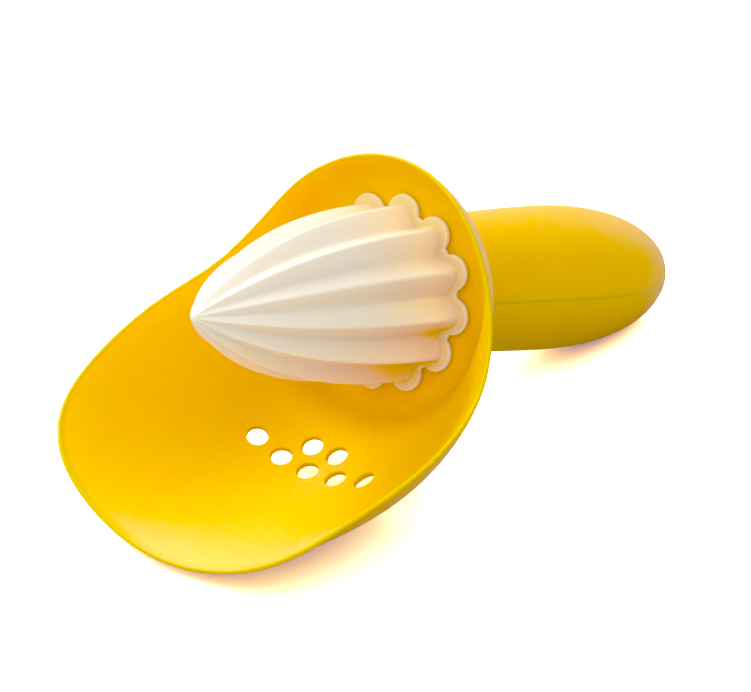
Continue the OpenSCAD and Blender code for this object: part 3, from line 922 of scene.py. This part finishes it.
def handle_profile(size):
    """Outside of the handle in its own frame, as a function of the distance along it."""
    start = np.array([0, size.waist])
    belly = np.array([size.belly_place, size.belly])
    stop = np.array([size.end - END_ROUNDING, size.tip])
    side = joined(
        bezier([start, start + GRIP_PULL, belly - [BELLY_PULL_FRONT, 0], belly], HANDLE_SIDE_STEPS),
        bezier([belly, belly + [BELLY_PULL_BACK, 0], stop + END_PULL, stop], HANDLE_SIDE_STEPS))
    return lambda x: np.interp(x, side[:, 0], side[:, 1])


def shell_loop(x, outer, inner, seam, shrink, upper):
    """A closed ring of points round the wall of one half shell, at one place along it."""
    outer, inner = outer - shrink, inner + shrink
    lift = math.asin(seam / outer)
    outside = np.linspace(lift, math.pi - lift, SHELL_ARC)
    low = math.asin(seam / inner)
    inside = np.linspace(math.pi - low, low, SHELL_ARC)
    turns = quarter(SEAM_STEPS)
    corners = [(outer - seam * (1 - math.cos(a)), seam * (1 - math.sin(a))) for a in turns]
    nooks = [(inner + seam * (1 - math.cos(a)), seam * (1 - math.sin(a))) for a in turns]
    ring = [(outer * math.cos(a), outer * math.sin(a)) for a in outside]
    ring += [(-y, z) for y, z in corners] + [(-y, z) for y, z in nooks[::-1]]
    ring += [(inner * math.cos(a), inner * math.sin(a)) for a in inside]
    ring += nooks + corners[::-1]
    flip = 1 if upper else -1
    return np.array([(x, y, flip * z) for y, z in ring])


def half_shell(size, upper):
    """Points and faces of one half of the hollow handle."""
    radius = handle_profile(size)
    cap = size.end - CAP_LENGTH
    stations = np.linspace(SHELL_START, cap, HANDLE_STATIONS + 1)
    loops = []
    for k, x in enumerate(stations):
        seam = size.seam * (1 - SEAM_FADE * (x - SHELL_START) / (cap - SHELL_START))
        inner = radius(x) - size.wall
        if x < NECK_END:
            inner = min(inner, NECK_RADIUS + size.wall)
        if x > cap - SKIRT_LENGTH - SKIRT_ROOM:
            inner = min(inner, radius(cap) - size.wall)
        at_end = k in (0, HANDLE_STATIONS)
        if k == 1:
            loops.append(shell_loop(SHELL_START + JOINT_ROUNDING, radius(SHELL_START), inner, seam,
                                    0, upper))
        if k == HANDLE_STATIONS:
            loops.append(shell_loop(cap - JOINT_ROUNDING, radius(cap), inner, seam, 0, upper))
        loops.append(shell_loop(x, radius(x), inner, seam, JOINT_ROUNDING * at_end, upper))
    rows = np.array(loops)
    count, around = rows.shape[:2]
    faces = [(i * around + j, (i + 1) * around + j, (i + 1) * around + (j + 1) % around,
              i * around + (j + 1) % around) for i in range(count - 1) for j in range(around)]
    # Each end is closed between the outer and the inner half of its ring, from one seam to the
    # other. Two points across the wall from each other add up to the same number.
    pair = 2 * (SHELL_ARC + SEAM_STEPS) - 1
    across = [(j % around, (pair - j) % around)
              for j in range(-SEAM_STEPS, SHELL_ARC + SEAM_STEPS)]
    for base in (0, (count - 1) * around):
        faces += [(base + a, base + c, base + d, base + b)
                  for (a, b), (c, d) in zip(across, across[1:])]
    points = from_handle(rows.reshape(-1, 3))
    # The drooping handle's front end is upright, along the scoop's back
    front = points[:, 0] < SHELL_START + FRONT_BAND
    points[front, 0] = np.maximum(points[front, 0], SHELL_START)
    return points, faces


def end_cap(size):
    """Points and faces of the cap that closes the handle's blunt end."""
    radius = handle_profile(size)
    cap = size.end - CAP_LENGTH
    start = cap + CAP_GAP
    stop = size.end - END_ROUNDING
    skirt = radius(cap) - size.wall - SKIRT_GAP
    edge = JOINT_ROUNDING
    outline = [(cap, skirt - SKIRT_WALL), (cap - SKIRT_LENGTH, skirt - SKIRT_WALL),
               (cap - SKIRT_LENGTH, skirt - edge), (cap - SKIRT_LENGTH + edge, skirt),
               (start, skirt), (start, radius(start) - edge)]
    outline += [(start + edge * math.sin(a), radius(start) - edge * math.cos(a))
                for a in quarter(3)]
    outline += [(x, radius(x)) for x in np.linspace(start + edge, stop, CAP_STATIONS)[1:]]
    outline += [(size.end - END_ROUNDING * (1 - math.sin(a)),
                 size.tip - END_ROUNDING * (1 - math.cos(a))) for a in quarter(8)]
    outline += [(size.end, size.tip * s) for s in (0.7, 0.35)]
    turn = np.linspace(0, 2 * math.pi, CAP_SIDES, endpoint=False)
    rows = np.array([revolved(x, r, turn) for x, r in outline])
    points, faces = skin(rows, (cap, 0, 0), (size.end, 0, 0))
    return from_handle(points), faces


class REAMER_OT_handle(bpy.types.Operator):
    """Builds the two half shells of the handle and the cap at its end"""
    bl_idname = "reamer.handle"
    bl_label = "Handle"

    def execute(self, context):
        size = context.scene.reamer_handle
        pieces = (("upper_shell_skin", "handle_upper_shell", half_shell(size, True)),
                  ("lower_shell_skin", "handle_lower_shell", half_shell(size, False)),
                  ("end_cap_skin", "handle_end_cap", end_cap(size)))
        for name, node, (points, faces) in pieces:
            piece = make_piece(name, points, faces, "handle", node)
            outward_faces(piece.data)
            dress(piece, yellow_plastic("handle"))
        return {"FINISHED"}


# The studio

CAMERA_PLACE = Vector((-0.7031, -0.5518, 0.4754))
CAMERA_RIGHT = Vector((0.6353, -0.7719, 0.0235))
CAMERA_UP = Vector((0.3356, 0.3033, 0.8919))
CAMERA_LENS = 191.74      # mm, on a sensor 36 mm wide
FLOOR_BOUNCE = (0.6, 0.6, 0.6)  # share of the floor's colour that lights the tool from below
FLOOR_SEEN = (3.3, 2.85, 2.6)  # what the camera sees, so that only close, warm shadows show
FLOOR_REACH = 9.0         # m from the middle to each side

# Soft lights of the dome: turn (0 is from -Y, 90 from +X), height and width in degrees, strength
LOW_LIGHTS = ((90, 8, 38, 1.15), (180, 8, 38, 0.7), (225, 8, 38, 0.6), (270, 8, 38, 1.1),
              (315, 8, 38, 0.25))
BACK_LIGHTS = ((157, 36, 38, 1.8), (202, 36, 38, 1.7), (134, 44, 18, 0.7), (158, 44, 18, 1.4),
               (182, 44, 18, 1.5), (206, 44, 18, 1.0), (230, 44, 18, 0.3))
FRONT_LIGHTS = ((292, 36, 38, 0.6), (337, 36, 38, 0.95), (0, 62, 34, 1.7))
TOP_LIGHTS = ((60, 62, 34, 0.5), (180, 62, 34, 0.6), (300, 62, 34, 0.65), (0, 90, 32, 0.15),
              (134, 64, 18, 0.2), (182, 64, 18, 0.45))
# Blue of the picture from that of the render, so that bright yellow pales as it does in the photo
BLUE_CURVE = ((0.05, 0.05), (0.08, 0.11), (0.12, 0.24), (0.2, 0.31), (0.4, 0.42))


def camera_switch(tree, output, lighting, seen):
    """Ends a material or world in one shader for the light and another for the camera's own rays."""
    rays = tree.nodes.new("ShaderNodeLightPath")
    mix = tree.nodes.new("ShaderNodeMixShader")
    tree.links.new(rays.outputs["Is Camera Ray"], mix.inputs[0])
    tree.links.new(lighting.outputs[0], mix.inputs[1])
    tree.links.new(seen.outputs[0], mix.inputs[2])
    end = tree.nodes.new(output)
    tree.links.new(mix.outputs[0], end.inputs["Surface"])


def studio_floor():
    """A flat sheet of pale paper, so wide that its border doesn't show."""
    finish = bpy.context.scene.reamer_finish
    corners = ((-1, -1), (1, -1), (1, 1), (-1, 1))
    mesh = bpy.data.meshes.new("studio_floor")
    mesh.from_pydata([(x * FLOOR_REACH, y * FLOOR_REACH, 0) for x, y in corners], [],
                     [(0, 1, 2, 3)])
    floor = bpy.data.objects.new("studio_floor", mesh)
    bpy.context.scene.collection.objects.link(floor)
    material = bpy.data.materials.new("floor_paper")
    material.use_nodes = True
    tree = material.node_tree
    tree.nodes.clear()
    drift = group_node(tree, "pigment_drift", pigment_drift, Weakest=0.985, Scale=3)
    sides = []
    for tint in (FLOOR_BOUNCE, FLOOR_SEEN):
        paint = add(tree, "ShaderNodeHueSaturation")
        paint.inputs["Color"].default_value = (*np.multiply(tint, finish.floor), 1)
        tree.links.new(drift.outputs["Strength"], paint.inputs["Value"])
        paper = tree.nodes.new("ShaderNodeBsdfDiffuse")
        tree.links.new(paint.outputs["Color"], paper.inputs["Color"])
        sides.append(paper)
    camera_switch(tree, "ShaderNodeOutputMaterial", *sides)
    dress(floor, material)


def soft_light(tree, where, turn, height, width, strength):
    """Brightness of the dome near one direction, falling softly to nothing at its width."""
    turn, height = math.radians(turn), math.radians(height)
    dot = tree.nodes.new("ShaderNodeVectorMath")
    dot.operation = "DOT_PRODUCT"
    dot.inputs[1].default_value = (math.sin(turn) * math.cos(height),
                                   -math.cos(turn) * math.cos(height), math.sin(height))
    tree.links.new(where.outputs["Generated"], dot.inputs[0])
    soft = add(tree, "ShaderNodeMapRange", From_Min=math.cos(math.radians(width)), From_Max=1,
               To_Min=0, To_Max=strength)
    soft.interpolation_type = "SMOOTHSTEP"
    tree.links.new(dot.outputs["Value"], soft.inputs["Value"])
    return soft.outputs["Result"]


def studio_dome(light):
    """World light: soft lights on a dark dome, which the camera itself sees as white."""
    world = bpy.data.worlds.new("studio_dome")
    world.use_nodes = True
    bpy.context.scene.world = world
    tree = world.node_tree
    tree.nodes.clear()
    where = tree.nodes.new("ShaderNodeTexCoord")
    total = None
    for share, lights in ((light.low, LOW_LIGHTS), (light.back, BACK_LIGHTS),
                          (light.front, FRONT_LIGHTS), (light.top, TOP_LIGHTS)):
        for turn, height, width, strength in lights:
            part = soft_light(tree, where, turn, height, width, share * strength)
            if total is not None:
                plus = tree.nodes.new("ShaderNodeMath")
                plus.operation = "ADD"
                tree.links.new(part, plus.inputs[0])
                tree.links.new(total, plus.inputs[1])
                part = plus.outputs[0]
            total = part
    lit = add(tree, "ShaderNodeBackground")
    tree.links.new(total, lit.inputs["Strength"])
    seen = add(tree, "ShaderNodeBackground", Strength=1.0)
    for shader in (lit, seen):
        shader.inputs["Color"].default_value = (1, 1, 1, 1)
    camera_switch(tree, "ShaderNodeOutputWorld", lit, seen)


def picture_grade(light):
    """The photo's own finish: clipped highlights that pale, then a stronger saturation."""
    scene = bpy.context.scene
    scene.use_nodes = True
    tree = scene.node_tree
    tree.nodes.clear()
    layers = tree.nodes.new("CompositorNodeRLayers")
    curve = tree.nodes.new("CompositorNodeCurveRGB")
    curve.mapping.extend = "HORIZONTAL"
    blue = curve.mapping.curves[2]
    for spot in BLUE_CURVE:
        blue.points.new(*spot)
    curve.mapping.update()
    strong = tree.nodes.new("CompositorNodeHueSat")
    strong.inputs["Saturation"].default_value = light.saturation
    out = tree.nodes.new("CompositorNodeComposite")
    tree.links.new(layers.outputs["Image"], curve.inputs["Image"])
    tree.links.new(curve.outputs["Image"], strong.inputs["Image"])
    tree.links.new(strong.outputs["Image"], out.inputs["Image"])


def studio_camera():
    camera = bpy.data.objects.new("studio_camera", bpy.data.cameras.new("studio_camera"))
    camera.data.lens = CAMERA_LENS
    camera.data.sensor_width = 36
    camera.data.clip_end = 50
    back = CAMERA_RIGHT.cross(CAMERA_UP).normalized()
    right = CAMERA_UP.cross(back).normalized()
    turn = Matrix((right, back.cross(right), back)).transposed().to_4x4()
    camera.matrix_world = Matrix.Translation(CAMERA_PLACE) @ turn
    bpy.context.scene.collection.objects.link(camera)
    bpy.context.scene.camera = camera


class REAMER_OT_studio(bpy.types.Operator):
    """Sets up the pale floor, the soft dome of light and the camera"""
    bl_idname = "reamer.studio"
    bl_label = "Studio"

    def execute(self, context):
        studio_floor()
        studio_dome(context.scene.reamer_light)
        picture_grade(context.scene.reamer_light)
        studio_camera()
        context.scene.view_settings.view_transform = "Standard"
        return {"FINISHED"}


class REAMER_PT_panel(bpy.types.Panel):
    """The reamer's sizes, and a button for each group of pieces"""
    bl_idname = "REAMER_PT_panel"
    bl_label = "Citrus Reamer"
    bl_space_type = "VIEW_3D"
    bl_region_type = "UI"
    bl_category = "Reamer"

    def draw(self, context):
        scene = context.scene
        for group, operator in ((scene.reamer_bowl, REAMER_OT_bowl),
                                (scene.reamer_cone, REAMER_OT_cone),
                                (None, REAMER_OT_socket),
                                (scene.reamer_handle, REAMER_OT_handle),
                                (scene.reamer_finish, None),
                                (scene.reamer_light, REAMER_OT_studio)):
            box = self.layout.box()
            if group is not None:
                for name in group.__annotations__:
                    box.prop(group, name)
            if operator is not None:
                box.operator(operator.bl_idname)


GROUPS = {"reamer_bowl": BowlSizes, "reamer_cone": ConeSizes, "reamer_handle": HandleSizes,
          "reamer_finish": Finish, "reamer_light": Light}
OPERATORS = (REAMER_OT_bowl, REAMER_OT_cone, REAMER_OT_socket, REAMER_OT_handle,
             REAMER_OT_studio)


def register():
    for name, group in GROUPS.items():
        bpy.utils.register_class(group)
        setattr(bpy.types.Scene, name, bpy.props.PointerProperty(type=group))
    for made in (*OPERATORS, REAMER_PT_panel):
        bpy.utils.register_class(made)


def unregister():
    for made in (REAMER_PT_panel, *reversed(OPERATORS)):
        bpy.utils.unregister_class(made)
    for name, group in GROUPS.items():
        delattr(bpy.types.Scene, name)
        bpy.utils.unregister_class(group)


def main():
    register()
    bpy.ops.reamer.bowl()
    bpy.ops.reamer.cone()
    bpy.ops.reamer.socket()
    bpy.ops.reamer.handle()
    bpy.ops.reamer.studio()


if __name__ == "__main__":
    main()
